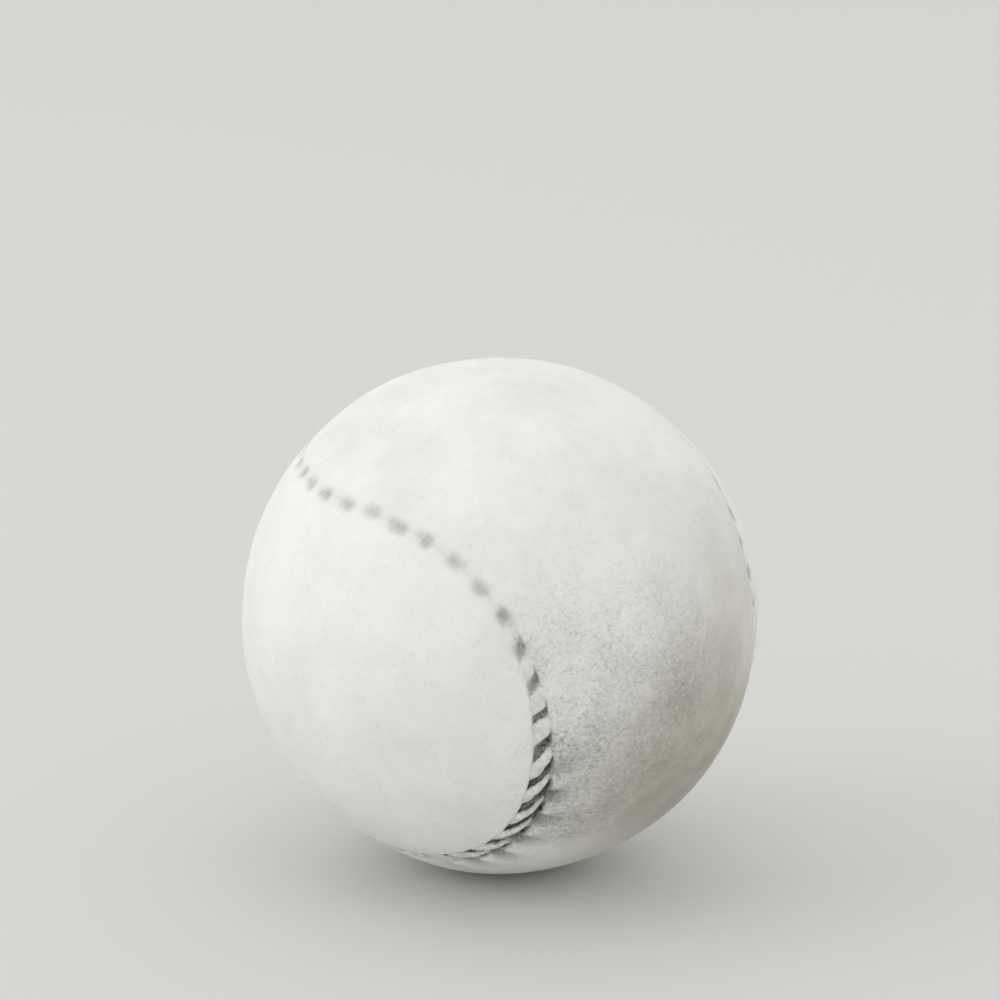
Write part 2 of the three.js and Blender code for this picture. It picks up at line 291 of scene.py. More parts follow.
def seam_curve(share):
    """Directions of the seam, a closed curve that waves round the ball, before the ball is laid down."""
    turn = (share + SEAM_START) * 2 * math.pi
    rise = (1 - LOBE_FULLNESS) / math.tan(WAIST_WIDTH / 2 / BALL_RADIUS)
    curve = np.stack([np.cos(turn) + LOBE_FULLNESS * np.cos(3 * turn),
                      np.sin(turn) - LOBE_FULLNESS * np.sin(3 * turn),
                      rise * np.sin(2 * turn)], axis=-1)
    return curve / np.linalg.norm(curve, axis=-1)[..., None]


curve_shares = np.linspace(0, 1, CURVE_STEPS + 1)
curve_strides = np.linalg.norm(np.diff(seam_curve(curve_shares), axis=0), axis=1) * BALL_RADIUS
curve_travel = np.concatenate([[0], np.cumsum(curve_strides)])
seam_length = curve_travel[-1]
stitch_pitch = seam_length / STITCHES


def seam_frame(along):
    """Directions out of the ball, and across the seam to the left panel, at lengths along the seam."""
    share = np.interp(np.mod(along, seam_length), curve_travel, curve_shares)
    out = seam_curve(share)
    half_step = 0.5 / CURVE_STEPS
    across = np.cross(out, seam_curve(share + half_step) - seam_curve(share - half_step))
    return out, across / np.linalg.norm(across, axis=-1)[..., None]


def beside_seam(along, across):
    """Directions of places at lengths along the seam and distances across it, left being positive."""
    out, side = seam_frame(along)
    angle = (across / BALL_RADIUS)[..., None]
    return out * np.cos(angle) + side * np.sin(angle)


def smooth_share(value, start, end):
    """0 before start, 1 after end, with a smooth rise between them."""
    share = np.clip((value - start) / (end - start), 0, 1)
    return share * share * (3 - 2 * share)


seam_steps = np.arange(STITCHES * STEPS_PER_STITCH) * stitch_pitch / STEPS_PER_STITCH
seam_out, seam_side = seam_frame(seam_steps)


def seam_place(directions):
    """Length along the seam and distance across it of directions on the ball, left being positive."""
    parts = np.array_split(directions, math.ceil(len(directions) / PLACES_AT_ONCE))
    nearest = np.concatenate([np.argmax(part @ seam_out.T, axis=1) for part in parts])
    ahead = np.cross(seam_side[nearest], seam_out[nearest])
    along = seam_steps[nearest] + np.sum(directions * ahead, axis=1) * BALL_RADIUS
    cosine = np.sum(directions * seam_out[nearest], axis=1)
    side = np.sign(np.sum(directions * seam_side[nearest], axis=1))
    return along, side * np.arccos(np.clip(cosine, -1, 1)) * BALL_RADIUS


cotton_radius = node_radius("cotton_winding")
cotton_relief = strand_relief(winding_directions, cotton_radius, COTTON_TURNS, COTTON_STRAND_WIDTH,
                              COTTON_STRAND_HEIGHT, ROUND_STRAND)
seam_reach = np.abs(seam_place(winding_directions)[1])
bed_share = 1 - smooth_share(seam_reach, SEAM_BED_HALF, SEAM_BED_END)
cotton_outer = cotton_radius - COTTON_STRAND_HEIGHT + cotton_relief - SEAM_BED_DEPTH * bed_share
cotton_points, cotton_faces = winding_shell(winding_directions, winding_faces, cotton_outer,
                                            wool_radius + LAYER_SKIN)

# Cotton thread, spun and undyed: off-white and matt, with a fine spun texture and painted shade in its
# hollows.
# Single fibres are too fine to show, so they are drawn coarser.
COTTON_FIBRE = 0.2 * MM
COTTON_FIBRE_DEPTH = 0.06 * MM
COTTON_HOLLOW_SHADE = "#CFC7B2"
COTTON_ECRU = "#F1ECDD"
cotton, tree, shader, place = new_material("undyed_cotton_thread")
fibre = add_node(tree, "ShaderNodeTexNoise", {"Vector": place, "Scale": 1 / COTTON_FIBRE, "Detail": 4.0})
ecru = add_node(tree, "ShaderNodeMix",
                {"Factor": fibre.outputs["Fac"], FIRST_COLOUR: linear(COTTON_HOLLOW_SHADE),
                 SECOND_COLOUR: linear(COTTON_ECRU)}, data_type="RGBA")
spun = add_node(tree, "ShaderNodeBump",
                {"Height": fibre.outputs["Fac"], "Strength": 0.6, "Distance": COTTON_FIBRE_DEPTH})
tree.links.new(ecru.outputs[MIXED_COLOUR], shader.inputs["Base Color"])
tree.links.new(spun.outputs["Normal"], shader.inputs["Normal"])
shader.inputs["Roughness"].default_value = 0.9
shader.inputs["IOR"].default_value = 1.54
add_piece("cotton_turns", cotton_points @ LIE.T, cotton_faces, cotton, "cotton_winding")

# The two cover panels: white goatskin cut as figure eights, stretched wet over the ball and sewn edge to
# edge. Drying pulls the leather tight. Its pared edges turn down into the seam, where a slit stays open
# between each two stitches, and on the worn side short folds run out from these slits.
LEFT = 1
RIGHT = -1
LEATHER_THICKNESS = 1.6 * MM
RIM_DEPTH = 2.3 * MM
RIM_END = 1 * MM
EVEN_THICKNESS_START = 4 * MM
SWELL_HEIGHT = 0.06 * MM
SWELL_START = 1.5 * MM
SWELL_FULL = 5 * MM
SWELL_WAVES = 24
WRINKLE_HEIGHT = 0.05 * MM
WRINKLE_WIDTH = 2.4 * MM
# Radians of wave for each radian round the ball, in the longest and the shortest of the swell's waves
SWELL_LONG = 6
SWELL_SHORT = 16
# The stitches lie between awl holes this far from the edges, and lean more towards their ends
HOLE_INSET = 1.6 * MM
STITCH_SLANT = 3.4 * MM
STITCH_START = -0.9 * MM
STITCH_BEND = 0.45
BEND_END = 1.45 * MM
FOLDED_LEAN = 0.3
RUBBED_LEAN = 0.6
# The slits between the stitches, which at the folds are wider and reach further right, and the bed that
# the thread draws into the leather
SLIT_DEPTH = 1.3 * MM
SLIT_HALF_WIDTH = 0.86 * MM
SLIT_SQUARENESS = 4
SLIT_FLOOR_HALF = 0.5 * MM
SHORT_SLIT_END = 0.55 * MM
LONG_SLIT_END = 1.75 * MM
SLIT_OPENING_POWER = 2
RUBBED_SLIT_WIDTH = 0.45
FOLDED_SLIT_WIDENING = 0.4
FOLDED_SLIT_SHIFT = 0.5 * MM
THREAD_BED_DEPTH = 0.55 * MM
THREAD_BED_HALF = 0.5 * MM
THREAD_BED_END = 1.5 * MM
SEAM_SINK = 0.15 * MM
SEAM_SINK_WIDTH = 3.2 * MM
# Grime and painted shade in the slits, darker where they are deeper, as shares of the slit's depth and of
# its darkest. Rubbing cleans their left ends first.
SLIT_GRIME_AND_SHADE_START = 0.05
SLIT_GRIME_AND_SHADE_FULL = 0.5
FOLDED_DARKNESS = 0.12
CLEAN_END = 1.2
CLEAN_REACH = 0.9 * MM
# Where rubbing has closed the seam, each slit is left as a dimple with a grey stain, and with a smaller
# stain by it
RUBBED_BED_DEPTH = 0.06 * MM
DIMPLE_DEPTH = 0.25 * MM
DIMPLE_HALF_WIDTH = 0.82 * MM
DIMPLE_SQUARENESS = 3
SMALL_STAIN_HALF_WIDTH = 0.52 * MM
STAIN_SHARE = 0.38
HALF_RUBBED_STAIN = 1.1
SEAM_STAIN = 0.075
# The folds that run out from the slits of the worn side, each with a painted shadow
FOLD_RISE = 0.6 * MM
FOLD_START = 1.0 * MM
FOLD_SHIFT = 2.8 * MM
FOLD_DEPTH = 0.55 * MM
FOLD_HALF_WIDTH = 1.1 * MM
FOLD_LENGTH = 2.6 * MM
FOLD_LEAN = 0.25
# Share of the painted shadow on each fold
FOLD_SHADOW = 0.9
# Places on the ball as it lies, each with the angles from it, in degrees, at which its mark begins and is
# full
RUBBED_PLACES = ((Vector((-0.547, -0.589, 0.595)), 77, 27), (Vector((0.806, 0.01, 0.59)), 40, 4))
GRAINED_PLACE = (Vector((0.43, -0.9, -0.07)), 44, 8)
PUCKERED_PLACE = (Vector((0.31, -0.86, -0.4)), 42, 8)
FOLDED_PLACE = (Vector((0.11, -0.74, -0.66)), 32, 12)
WORN_PLACE = (Vector((0.7, -0.56, -0.44)), 42, 10)
# The right edge, turned from the lamp, is darkened with painted shade in the wear's dull colour
EDGE_SHADE_PLACE = (Vector((0.93, -0.35, 0.1)), 50, 10)
GRAINED_SHARE = 0.5
PUCKERED_SHARE = 0.88
PUCKER_FADE = 0.85
PUCKER_FADE_START = 3 * MM
PUCKER_FADE_END = 16 * MM
# Share of that painted shade on the right edge
EDGE_SHADE_SHARE = 0.4
# Distances from the edge, in mm, of the rings of points along a rim, and the spacing of points inside
# them
RIM_RINGS = (0.005, 0.02, 0.25, 0.5, 0.7, 0.88, 1.04, 1.2, 1.36, 1.52, 1.7, 1.9, 2.2, 2.6, 3.1, 3.7, 4.4,
             5.1, 5.9, 6.7)
FILLING_SPACING = 0.6 * MM
FILLING_GAP = 0.36 * MM
LOBE_HALF_SPAN = math.pi / 3
CHART_TOLERANCE = 1e-7
# Sewn by hand, so each stitch, slit and stain is a little different from the next
STITCH_SEED = 7
stitch_luck = np.random.default_rng(STITCH_SEED)
luck_along = stitch_luck.uniform(-0.2, 0.2, STITCHES) * MM
luck_depth = stitch_luck.uniform(0.8, 1.15, STITCHES)
luck_grime = stitch_luck.uniform(0.93, 1.0, STITCHES)
luck_stain = stitch_luck.uniform(0.65, 1.1, STITCHES)
luck_spread = stitch_luck.uniform(0.85, 1.45, STITCHES)
luck_lean = stitch_luck.uniform(-0.2, 0.2, STITCHES)
luck_width = stitch_luck.uniform(0.92, 1.08, STITCHES)
luck_aside = stitch_luck.uniform(-0.3, 0.3, STITCHES) * MM
luck_small_side = stitch_luck.choice((-1, 1), STITCHES)
luck_small_along = luck_small_side * stitch_luck.uniform(0.8, 1.1, STITCHES) * MM
luck_small_aside = stitch_luck.uniform(-0.4, 0.4, STITCHES) * MM
luck_small = stitch_luck.uniform(0.3, 1.1, STITCHES)


def near_place(directions, mark):
    """How far directions have come into a mark on the ball as it lies: 0 outside it, 1 well inside."""
    place, begins, full = mark
    cosine = directions @ LIE.T @ np.array(place.normalized())
    angle = np.degrees(np.arccos(np.clip(cosine, -1, 1)))
    return np.clip((angle - begins) / (full - begins), 0, 1)


def seam_openness(along):
    """How open the seam is: 0 where it is rubbed smooth, 1 where the slits are deep and dark."""
    middle = seam_frame(along)[0]
    return 1 - np.maximum(near_place(middle, RUBBED_PLACES[0]), near_place(middle, RUBBED_PLACES[1]))


def seam_folded(along):
    """How far lengths along the seam have come into the stretch where the leather folds."""
    return near_place(seam_frame(along)[0], FOLDED_PLACE)


def stitch_lean(across):
    """How far along the seam a stitch has come at distances across it: it leans, more so at its ends."""
    inner = np.clip(across, -BEND_END, BEND_END)
    bent = across + STITCH_BEND * inner ** 3 / HOLE_INSET ** 2
    return STITCH_SLANT / 2 * (1 - bent / HOLE_INSET)


def added_lean(along):
    """Change in a stitch's lean for each length across it: more at the folds, less where it is rubbed."""
    return FOLDED_LEAN * seam_folded(along) - RUBBED_LEAN * (1 - seam_openness(along))


def slit_place(along, line):
    """Distance along the seam from the nearest slit's line, and that slit's number."""
    number = np.round((along - line) / stitch_pitch).astype(int)
    luck = (luck_along[number % STITCHES] + luck_along[(number + 1) % STITCHES]) / 2
    return along - line - number * stitch_pitch - luck, number % STITCHES


def slit_offset(along, across):
    """Distance aside from the nearest slit's middle line, and that slit's number."""
    beside, number = slit_place(along, STITCH_START + stitch_pitch / 2 + stitch_lean(across))
    luck = (luck_lean[number] + luck_lean[(number + 1) % STITCHES]) / 2
    beside += (luck + added_lean(along)) * across
    return beside * math.sin(math.atan2(2 * HOLE_INSET, STITCH_SLANT)), number


def rubbed_spot(along, across):
    """Share of the round dimple, with its soft grey stain, that rubbing leaves of each slit."""
    beside, number = slit_place(along, STITCH_START + (stitch_pitch + STITCH_SLANT) / 2)
    aside = across - luck_aside[number]
    spot_beside = np.abs(beside / (DIMPLE_HALF_WIDTH * luck_spread[number]))
    spot_aside = np.abs(aside / DIMPLE_HALF_WIDTH)
    spot = np.exp(-spot_beside ** DIMPLE_SQUARENESS - spot_aside ** DIMPLE_SQUARENESS)
    small_beside = (beside - luck_small_along[number]) / SMALL_STAIN_HALF_WIDTH
    small_aside = (aside - luck_small_aside[number]) / SMALL_STAIN_HALF_WIDTH
    small_stain = luck_small[number] * np.exp(-small_beside ** 2 - small_aside ** 2)
    return np.maximum(spot, small_stain) * luck_stain[number] * (1 - seam_openness(along))


def fold_share(along, across):
    """Share of the short folds that run out from the slits on the right panel."""
    beyond = -across - FOLD_START
    line = STITCH_START + stitch_pitch / 2 + FOLD_SHIFT + FOLD_LEAN * beyond
    beside = slit_place(along, line)[0] / FOLD_HALF_WIDTH
    fold = np.exp(-beside ** SLIT_SQUARENESS - (np.maximum(beyond, 0) / FOLD_LENGTH) ** 2)
    return fold * smooth_share(-across, FOLD_RISE, FOLD_START) * smooth_share(seam_folded(along), 0, 1)


def leather_relief(along, across):
    """Drop of the leather below the ball's round, and its share of grime and painted shade, at places
    beside the seam.
    """
    reach = np.abs(across)
    openness = seam_openness(along)
    opened = openness ** SLIT_OPENING_POWER
    folded = seam_folded(along)
    offset, number = slit_offset(along, across)
    widening = RUBBED_SLIT_WIDTH + (1 - RUBBED_SLIT_WIDTH) * openness + FOLDED_SLIT_WIDENING * folded
    slit = np.exp(-(offset / SLIT_HALF_WIDTH / widening) ** SLIT_SQUARENESS)
    slit_end = SHORT_SLIT_END + (LONG_SLIT_END - SHORT_SLIT_END) * opened
    slit_reach = np.abs(across + FOLDED_SLIT_SHIFT * folded)
    slit_length = 1 - smooth_share(slit_reach, SLIT_FLOOR_HALF, slit_end)
    thread_bed = 1 - smooth_share(reach, THREAD_BED_HALF, THREAD_BED_END)
    spot = rubbed_spot(along, across)
    fold = fold_share(along, across)

    slit_drop = SLIT_DEPTH * slit * slit_length * luck_depth[number]
    bed_drop = THREAD_BED_DEPTH * (1 - slit) * thread_bed
    open_drop = slit_drop + bed_drop + SEAM_SINK * np.exp(-(reach / SEAM_SINK_WIDTH) ** 2)
    rubbed_drop = RUBBED_BED_DEPTH * thread_bed + DIMPLE_DEPTH * spot
    drop = opened * open_drop + (1 - opened) * rubbed_drop + FOLD_DEPTH * fold

    # The slits darken with their depth: grime packed in them, and painted shade
    darkness = 1 - (1 - openness) ** 2 + FOLDED_DARKNESS * folded
    grime_and_shade = slit * smooth_share(slit_length, SLIT_GRIME_AND_SHADE_START, SLIT_GRIME_AND_SHADE_FULL) * luck_grime[number] * darkness
    grime_and_shade *= np.clip(1 - CLEAN_END * (1 - openness) * smooth_share(across, 0, CLEAN_REACH), 0, 1)
    seam_line = np.exp(-(across / DIMPLE_HALF_WIDTH) ** 2) * (1 - openness)
    stain = (STAIN_SHARE + HALF_RUBBED_STAIN * openness) * spot + SEAM_STAIN * seam_line
    # Darkest of the slits' grime and painted shade, the stains, and the folds' painted shadow
    return drop, np.maximum(np.maximum(grime_and_shade, stain), FOLD_SHADOW * fold)


def leather_swell(directions, seed):
    """A gentle swell of the surface at directions on the ball, from about -1 to 1."""
    chance = np.random.default_rng(seed)
    swell = np.zeros(len(directions))
    for _ in range(SWELL_WAVES):
        heading = chance.normal(size=3)
        heading *= chance.uniform(SWELL_LONG, SWELL_SHORT) / np.linalg.norm(heading)
        swell += np.sin(directions @ heading + chance.uniform(0, 2 * math.pi))
    return swell / math.sqrt(SWELL_WAVES)


def panel_filling(side, rim_directions, least_reach):
    """Even points inside a panel's last ring, their reach, and the triangles that join them all."""
    pole = np.array([0, 0, side])
    spine = np.array([1, -side, 0]) / math.sqrt(2)
    beam = np.cross(pole, spine)
    step = FILLING_SPACING / BALL_RADIUS
    bend, tilt = np.meshgrid(np.arange(-math.pi, math.pi, step),
                             np.arange(-LOBE_HALF_SPAN, LOBE_HALF_SPAN, step * math.sqrt(3) / 2))
    bend[::2] += step / 2
    bend, tilt = bend.reshape(-1, 1), tilt.reshape(-1, 1)
    filling = np.cos(tilt) * (np.cos(bend) * pole + np.sin(bend) * spine) + np.sin(tilt) * beam
    reach = side * seam_place(filling)[1]
    filling, reach = filling[reach > least_reach], reach[reach > least_reach]
    chart = np.vstack([rim_directions, filling])
    flat = np.stack([np.arctan2(chart @ spine, chart @ pole), np.arcsin(chart @ beam)], axis=1)
    count = len(rim_directions)
    edges = [(i, (i + 1) % count) for i in range(count)]
    inside_edges = 1
    result = delaunay_2d_cdt([Vector(point) for point in flat], edges, [], inside_edges, CHART_TOLERANCE)
    origin = [sources[0] for sources in result[3]]
    triangles = [[origin[i] for i in face] for face in result[2]]
    first = chart[triangles[0]]
    outward = np.dot(np.cross(first[1] - first[0], first[2] - first[0]), first[0]) > 0
    return filling, reach, triangles if outward else [face[::-1] for face in triangles]


def cover_panel(side, name, node, material, seed):
    """One panel: rings of points along its rim, an even filling inside them, and the flesh side below."""
    steps = len(seam_steps)
    rings = np.array(RIM_RINGS) * MM
    along = np.tile(seam_steps, len(rings))
    reach = np.repeat(rings, steps)
    rim = beside_seam(along, side * reach)
    drop, grime_and_shade = leather_relief(along, side * reach)
    filling, filling_reach, triangles = panel_filling(side, rim[-steps:], rings[-1] + FILLING_GAP)
    faces = []
    for ring in range(len(rings) - 1):
        for step in range(steps):
            here, there = ring * steps + step, ring * steps + (step + 1) % steps
            face = (here, there, there + steps, here + steps)
            faces.append(face if side == LEFT else face[::-1])
    base = (len(rings) - 1) * steps
    faces += [tuple(base + i for i in face) for face in triangles]

    directions = np.vstack([rim, filling])
    reach = np.concatenate([reach, filling_reach])
    drop = np.concatenate([drop, np.zeros(len(filling))])
    grime_and_shade = np.concatenate([grime_and_shade, np.zeros(len(filling))])
    grained = GRAINED_SHARE * smooth_share(near_place(directions, GRAINED_PLACE), 0, 1)
    puckered = PUCKERED_SHARE * smooth_share(near_place(directions, PUCKERED_PLACE), 0, 1)
    puckered *= 1 - PUCKER_FADE * smooth_share(reach, PUCKER_FADE_START, PUCKER_FADE_END)
    grained = np.maximum(grained, puckered)
    # Painted shade on the right edge goes into the same share as the real wear
    clean = 1 - EDGE_SHADE_SHARE * smooth_share(near_place(directions, EDGE_SHADE_PLACE), 0, 1)
    worn_and_edge_shade = 1 - clean * (1 - smooth_share(near_place(directions, WORN_PLACE), 0, 1))
    swell = SWELL_HEIGHT * leather_swell(directions, seed)
    if side == RIGHT:
        wrinkle_places = directions * BALL_RADIUS / WRINKLE_WIDTH
        wrinkles = np.array([noise.noise(Vector(point)) for point in wrinkle_places])
        swell += WRINKLE_HEIGHT * grained * wrinkles
    swell *= smooth_share(reach, SWELL_START, SWELL_FULL)
    outer = directions * (BALL_RADIUS - drop + swell)[:, None]
    thinning = smooth_share(reach, RIM_END, EVEN_THICKNESS_START)
    inner = directions * (BALL_RADIUS - RIM_DEPTH + (RIM_DEPTH - LEATHER_THICKNESS) * thinning)[:, None]
    count = len(directions)
    faces += [tuple(count + i for i in face[::-1]) for face in faces]
    for step in range(steps):
        there = (step + 1) % steps
        wall = (there, step, count + step, count + there)
        faces.append(wall if side == LEFT else wall[::-1])
    attributes = {"grime_and_shade": np.tile(grime_and_shade, 2), "grained": np.tile(grained, 2), "worn_and_edge_shade": np.tile(worn_and_edge_shade, 2)}
    add_piece(name, np.vstack([outer, inner]) @ LIE.T, faces, material, node, attributes)


# White goatskin, tawed and drum-dyed: a soft matt skin with fine grain. Handling leaves faint grey
# specks, grime packs into the seam with painted shade darkening the slits, the folds carry a painted
# shadow, and the worn side goes dull and brownish, with painted shade darkening its right edge, grime and
# painted shade in the pits of its pebbled grain and painted highlights on its crests.
MOTTLE = 1.4 * MM
MOTTLE_DEPTH = 0.08 * MM
CLOUD = 9 * MM
SPECK = 0.5 * MM
PEBBLE = 0.55 * MM
# Dull brownish colour of the wear, also used as painted shade on the right edge
DULL_AND_SHADE_COLOUR = "#9C9484"
SPECK_COLOUR = "#7D7A73"
# Grime and painted shade in the pits of the grain
PIT_GRIME_AND_SHADE_COLOUR = "#74706A"
# Painted highlight on the crests of the grain
CREST_HIGHLIGHT_COLOUR = "#F2F1ED"
# Near-black of the grime and painted shade in the slits and on the thread's flanks
GRIME_AND_SHADE_COLOUR = "#22211F"
# A noise pattern has nearly all its values in the first span, and its specks, pits and crests in the
# others
NOISE_SPAN = {"From Min": 0.35, "From Max": 0.65}
SPECK_SPAN = {"From Min": 0.6, "From Max": 0.75}
PIT_SPAN = {"From Min": 0.44, "From Max": 0.34}
CREST_HIGHLIGHT_SPAN = {"From Min": 0.56, "From Max": 0.66}
# Least shares that the clouds leave of the wear with its painted edge shade and of the grain, and that
# the pebbles leave of the grime and painted shade
LEAST_WEAR_AND_SHADE = 0.75
LEAST_GRAIN = 0.4
LEAST_GRIME_AND_SHADE = 0.72


def goatskin(name, clean, shaded, speck_share, pebble_depth, pit_share, crest_highlight_share, wear_and_shade_share):
    """Leather of one panel, with its own tone, specks, pebbled grain with grime and painted shade in its
    pits and painted highlights on its crests, and wear with painted shade on the right edge.
    """
    material, tree, shader, place = new_material(name)
    grime_and_shade, grained, worn_and_edge_shade = (add_node(tree, "ShaderNodeAttribute", attribute_name=label).outputs["Fac"]
                            for label in ("grime_and_shade", "grained", "worn_and_edge_shade"))
    mottle = add_node(tree, "ShaderNodeTexNoise", {"Vector": place, "Scale": 1 / MOTTLE, "Detail": 3.0})
    clouds = add_node(tree, "ShaderNodeTexNoise",
                      {"Vector": place, "Scale": 1 / CLOUD, "Detail": 6.0,
                       "Roughness": 0.7}).outputs["Fac"]
    specks = add_node(tree, "ShaderNodeTexNoise", {"Vector": place, "Scale": 1 / SPECK, "Detail": 2.0})
    pebbles = add_node(tree, "ShaderNodeTexNoise",
                       {"Vector": place, "Scale": 1 / PEBBLE, "Detail": 3.0, "Roughness": 0.6,
                        "Distortion": 0.4}).outputs["Fac"]

    tone_share = add_node(tree, "ShaderNodeMapRange", {"Value": clouds, **NOISE_SPAN})
    tone = add_node(tree, "ShaderNodeMix",
                    {"Factor": tone_share.outputs["Result"], FIRST_COLOUR: linear(clean),
                     SECOND_COLOUR: linear(shaded)}, data_type="RGBA")
    wear_and_shade_cloud = add_node(tree, "ShaderNodeMapRange",
                          {"Value": clouds, **NOISE_SPAN, "To Min": LEAST_WEAR_AND_SHADE, "To Max": 1.0})
    wear_and_shade = add_node(tree, "ShaderNodeMath", {0: worn_and_edge_shade, 1: wear_and_shade_cloud.outputs["Result"]},
                    operation="MULTIPLY")
    wear_and_shade_mix = add_node(tree, "ShaderNodeMath", {0: wear_and_shade.outputs["Value"], 1: wear_and_shade_share},
                        operation="MULTIPLY")
    dulled_and_shaded = add_node(tree, "ShaderNodeMix",
                      {"Factor": wear_and_shade_mix.outputs["Value"], FIRST_COLOUR: tone.outputs[MIXED_COLOUR],
                       SECOND_COLOUR: linear(DULL_AND_SHADE_COLOUR)}, data_type="RGBA")
    speck = add_node(tree, "ShaderNodeMapRange",
                     {"Value": specks.outputs["Fac"], **SPECK_SPAN, "To Max": speck_share})
    specked = add_node(tree, "ShaderNodeMix",
                       {"Factor": speck.outputs["Result"], FIRST_COLOUR: dulled_and_shaded.outputs[MIXED_COLOUR],
                        SECOND_COLOUR: linear(SPECK_COLOUR)}, data_type="RGBA")

    grain_cloud = add_node(tree, "ShaderNodeMapRange",
                           {"Value": clouds, **NOISE_SPAN, "To Min": LEAST_GRAIN, "To Max": 1.0})
    patchy = add_node(tree, "ShaderNodeMath", {0: grained, 1: grain_cloud.outputs["Result"]},
                      operation="MULTIPLY").outputs["Value"]
    # Grime and painted shade in the pits of the pebbled grain
    pit = add_node(tree, "ShaderNodeMapRange", {"Value": pebbles, **PIT_SPAN, "To Max": pit_share})
    pit_mix = add_node(tree, "ShaderNodeMath", {0: pit.outputs["Result"], 1: patchy},
                       operation="MULTIPLY")
    pitted = add_node(tree, "ShaderNodeMix",
                      {"Factor": pit_mix.outputs["Value"], FIRST_COLOUR: specked.outputs[MIXED_COLOUR],
                       SECOND_COLOUR: linear(PIT_GRIME_AND_SHADE_COLOUR)}, data_type="RGBA")
    # Painted highlights on the crests of the pebbled grain
    crest_highlight = add_node(tree, "ShaderNodeMapRange", {"Value": pebbles, **CREST_HIGHLIGHT_SPAN, "To Max": crest_highlight_share})
    crest_highlight_mix = add_node(tree, "ShaderNodeMath", {0: crest_highlight.outputs["Result"], 1: patchy},
                         operation="MULTIPLY")
    highlighted = add_node(tree, "ShaderNodeMix",
                       {"Factor": crest_highlight_mix.outputs["Value"], FIRST_COLOUR: pitted.outputs[MIXED_COLOUR],
                        SECOND_COLOUR: linear(CREST_HIGHLIGHT_COLOUR)}, data_type="RGBA")

    packing = add_node(tree, "ShaderNodeMapRange",
                       {"Value": pebbles, **NOISE_SPAN, "To Min": 1.0, "To Max": LEAST_GRIME_AND_SHADE})
    grime_and_shade_mix = add_node(tree, "ShaderNodeMath", {0: grime_and_shade, 1: packing.outputs["Result"]},
                         operation="MULTIPLY")
    grimy_and_shaded = add_node(tree, "ShaderNodeMix",
                     {"Factor": grime_and_shade_mix.outputs["Value"], FIRST_COLOUR: highlighted.outputs[MIXED_COLOUR],
                      SECOND_COLOUR: linear(GRIME_AND_SHADE_COLOUR)}, data_type="RGBA")
    skin_bump = add_node(tree, "ShaderNodeBump",
                         {"Height": mottle.outputs["Fac"], "Strength": 0.5, "Distance": MOTTLE_DEPTH})
    pebble = add_node(tree, "ShaderNodeMath", {0: pebbles, 1: patchy}, operation="MULTIPLY")
    pebble_bump = add_node(tree, "ShaderNodeBump",
                           {"Height": pebble.outputs["Value"], "Strength": 1.0, "Distance": pebble_depth,
                            "Normal": skin_bump.outputs["Normal"]})
    tree.links.new(grimy_and_shaded.outputs[MIXED_COLOUR], shader.inputs["Base Color"])
    tree.links.new(pebble_bump.outputs["Normal"], shader.inputs["Normal"])
    shader.inputs["Roughness"].default_value = 0.6
    shader.inputs["IOR"].default_value = 1.5
    return material


left_skin = goatskin("white_goatskin_smooth", clean="#EEEEEB", shaded="#E6E6E2", speck_share=0.11,
                     pebble_depth=0.3 * MM, pit_share=0.12, crest_highlight_share=0.12, wear_and_shade_share=0.2)
right_skin = goatskin("white_goatskin_worn", clean="#EDEDE9", shaded="#E2E2DD", speck_share=0.12,
                      pebble_depth=1.2 * MM, pit_share=0.68, crest_highlight_share=0.8, wear_and_shade_share=0.9)
cover_panel(LEFT, "cover_left", "left_cover_panel", left_skin, seed=11)
cover_panel(RIGHT, "cover_right", "right_cover_panel", right_skin, seed=12)

# The seam thread: one waxed white thread of three plies, sewn by hand with a whip stitch through both
# panels. Tension flattens each stitch into the seam, and the ends are hidden under the leather.
THREAD_SIDES = 18
THREAD_STEPS = 4
THREAD_HALF_HEIGHT = 0.48 * MM
THREAD_WOBBLE = 0.12 * MM
THREAD_WIDTH_WOBBLE = 0.09
RUBBED_THREAD_SINK = 0.36 * MM
RUBBED_THREAD_SPREAD = 0.1
PLIES = 3
PLY_DEPTH = 0.03
PLY_TWIST = 5 * MM
UNDER_DEPTH = 2.95 * MM
UNDER_HALF_WIDTH = 0.6 * MM
# At the folds a stitch grows thinner from left to right, and its right tip sinks under the leather
FOLDED_THREAD_PINCH = 0.56
PINCH_START = 1.8 * MM
PINCH_FULL = -0.4 * MM
FOLDED_TIP_SINK = 0.35 * MM
TIP_SINK_START = -0.3 * MM
TIP_SINK_FULL = -1.3 * MM
# Depths below a stitch's crest at which grime and painted shade on its flanks begin and are full
FLANK_GRIME_AND_SHADE_START = 0.08 * MM
FLANK_GRIME_AND_SHADE_FULL = 0.48 * MM
# One stitch in mm, up from the underside through the left panel's hole, over and down through the right
# panel's: distance across, depth and half-width. Its right end is thinner, as the leather folds over it.
STITCH_COURSE = ((1.5, 2.75, 0.55), (1.7, 1.6, 0.5), (1.5, 0.86, 0.54), (1.2, 0.58, 0.8),
                 (0.8, 0.46, 1.06), (0.4, 0.43, 1.12), (0.0, 0.43, 1.08), (-0.4, 0.43, 0.95),
                 (-0.8, 0.46, 0.74), (-1.2, 0.57, 0.47), (-1.5, 0.85, 0.36), (-1.7, 1.6, 0.45),
                 (-1.5, 2.75, 0.55))


